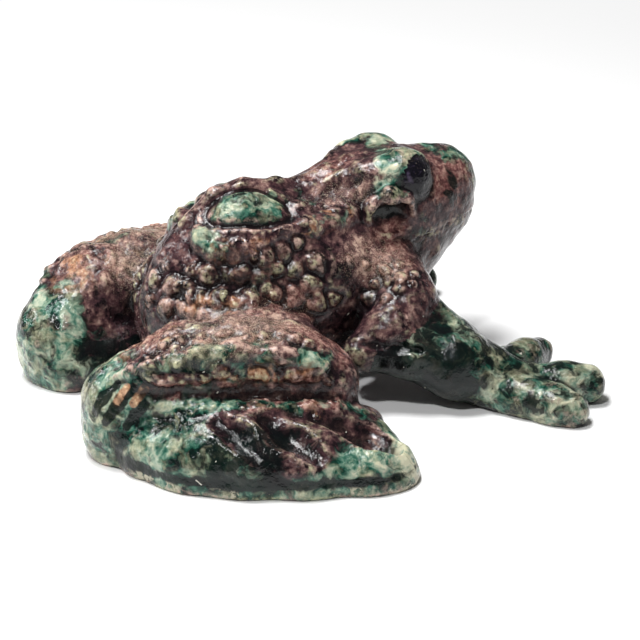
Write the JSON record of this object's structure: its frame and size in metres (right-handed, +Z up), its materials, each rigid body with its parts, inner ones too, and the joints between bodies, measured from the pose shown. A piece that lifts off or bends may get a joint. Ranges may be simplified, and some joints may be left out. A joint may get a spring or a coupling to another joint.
{
  "type": "ceramic frog figure",
  "caption": "Glazed ceramic frog crouching with raised head: hollow body, folded warty hind legs splayed flat, forelegs reaching forward with spread fingers.",
  "frame": {"origin": "on the ground under the middle of the bounding box", "axes": "+X towards the snout, +Y towards the frog's left, +Z up"},
  "size_m": [0.2036, 0.2288, 0.0918],
  "materials": {
    "glaze_aubergine": "glossy aubergine-brown glaze with sandy speckle",
    "glaze_leg": "glossy teal green glaze with cream patches, dark where it pools, crazed",
    "glaze_hand": "glossy green and cream mottled glaze with black pools",
    "glaze_wart": "glossy ochre to pink glaze, worn thin over raised pellets",
    "glaze_boss": "glossy mottled green, cream and aubergine glaze",
    "glaze_lid": "glossy pale yellow-green glaze",
    "glaze_pupil": "glossy purple-black glaze"
  },
  "bodies": {
    "root": {"body_shell": "glaze_aubergine", "head": "glaze_aubergine", "spine_ridge": "glaze_aubergine", "left_eyeball": "glaze_pupil", "right_eyeball": "glaze_pupil", "left_eyelid": "glaze_lid", "right_eyelid": "glaze_lid", "left_ear_rim": "glaze_aubergine", "right_ear_rim": "glaze_aubergine", "left_thigh": "glaze_aubergine", "right_thigh": "glaze_aubergine", "left_shank": "glaze_leg", "right_shank": "glaze_leg", "left_foot": "glaze_leg", "right_foot": "glaze_leg", "left_upper_arm": "glaze_aubergine", "right_upper_arm": "glaze_aubergine", "left_forearm": "glaze_hand", "right_forearm": "glaze_hand", "left_finger_1": "glaze_hand", "right_finger_1": "glaze_hand", "left_finger_2": "glaze_hand", "right_finger_2": "glaze_hand", "left_finger_3": "glaze_hand", "right_finger_3": "glaze_hand", "left_finger_4": "glaze_hand", "right_finger_4": "glaze_hand", "left_back_boss": "glaze_boss", "right_back_boss": "glaze_boss", "left_dorsal_fold": "glaze_aubergine", "right_dorsal_fold": "glaze_aubergine", "left_flank_warts": "glaze_wart", "right_flank_warts": "glaze_wart", "left_shank_warts": "glaze_wart", "right_shank_warts": "glaze_wart"}
  },
  "joints": []
}
